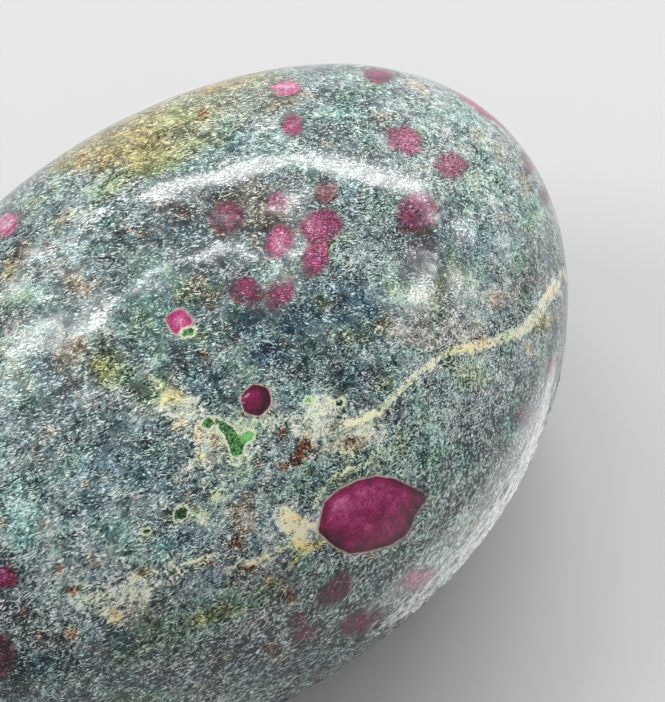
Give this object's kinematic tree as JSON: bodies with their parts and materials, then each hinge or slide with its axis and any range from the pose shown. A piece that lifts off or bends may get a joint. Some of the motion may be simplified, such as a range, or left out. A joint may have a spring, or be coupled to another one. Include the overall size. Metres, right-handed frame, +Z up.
{
  "type": "tumbled ruby in kyanite stone",
  "caption": "Smooth rounded pebble of polished stone with flush crystals and veins, longer than wide, resting on a small flat underneath.",
  "frame": {"origin": "centre of the stone's plan, on the plane of the flat that it rests on", "axes": "+X along the length of the stone, +Y across it, +Z up from the resting flat"},
  "size_m": [0.0398, 0.026, 0.0192],
  "materials": {
    "stone": "tumbled to a satin polish, blue-grey kyanite with ruby, green mica and cream veins flush in the surface"
  },
  "bodies": {
    "root": {"ruby_in_kyanite_stone": "stone"}
  },
  "joints": []
}
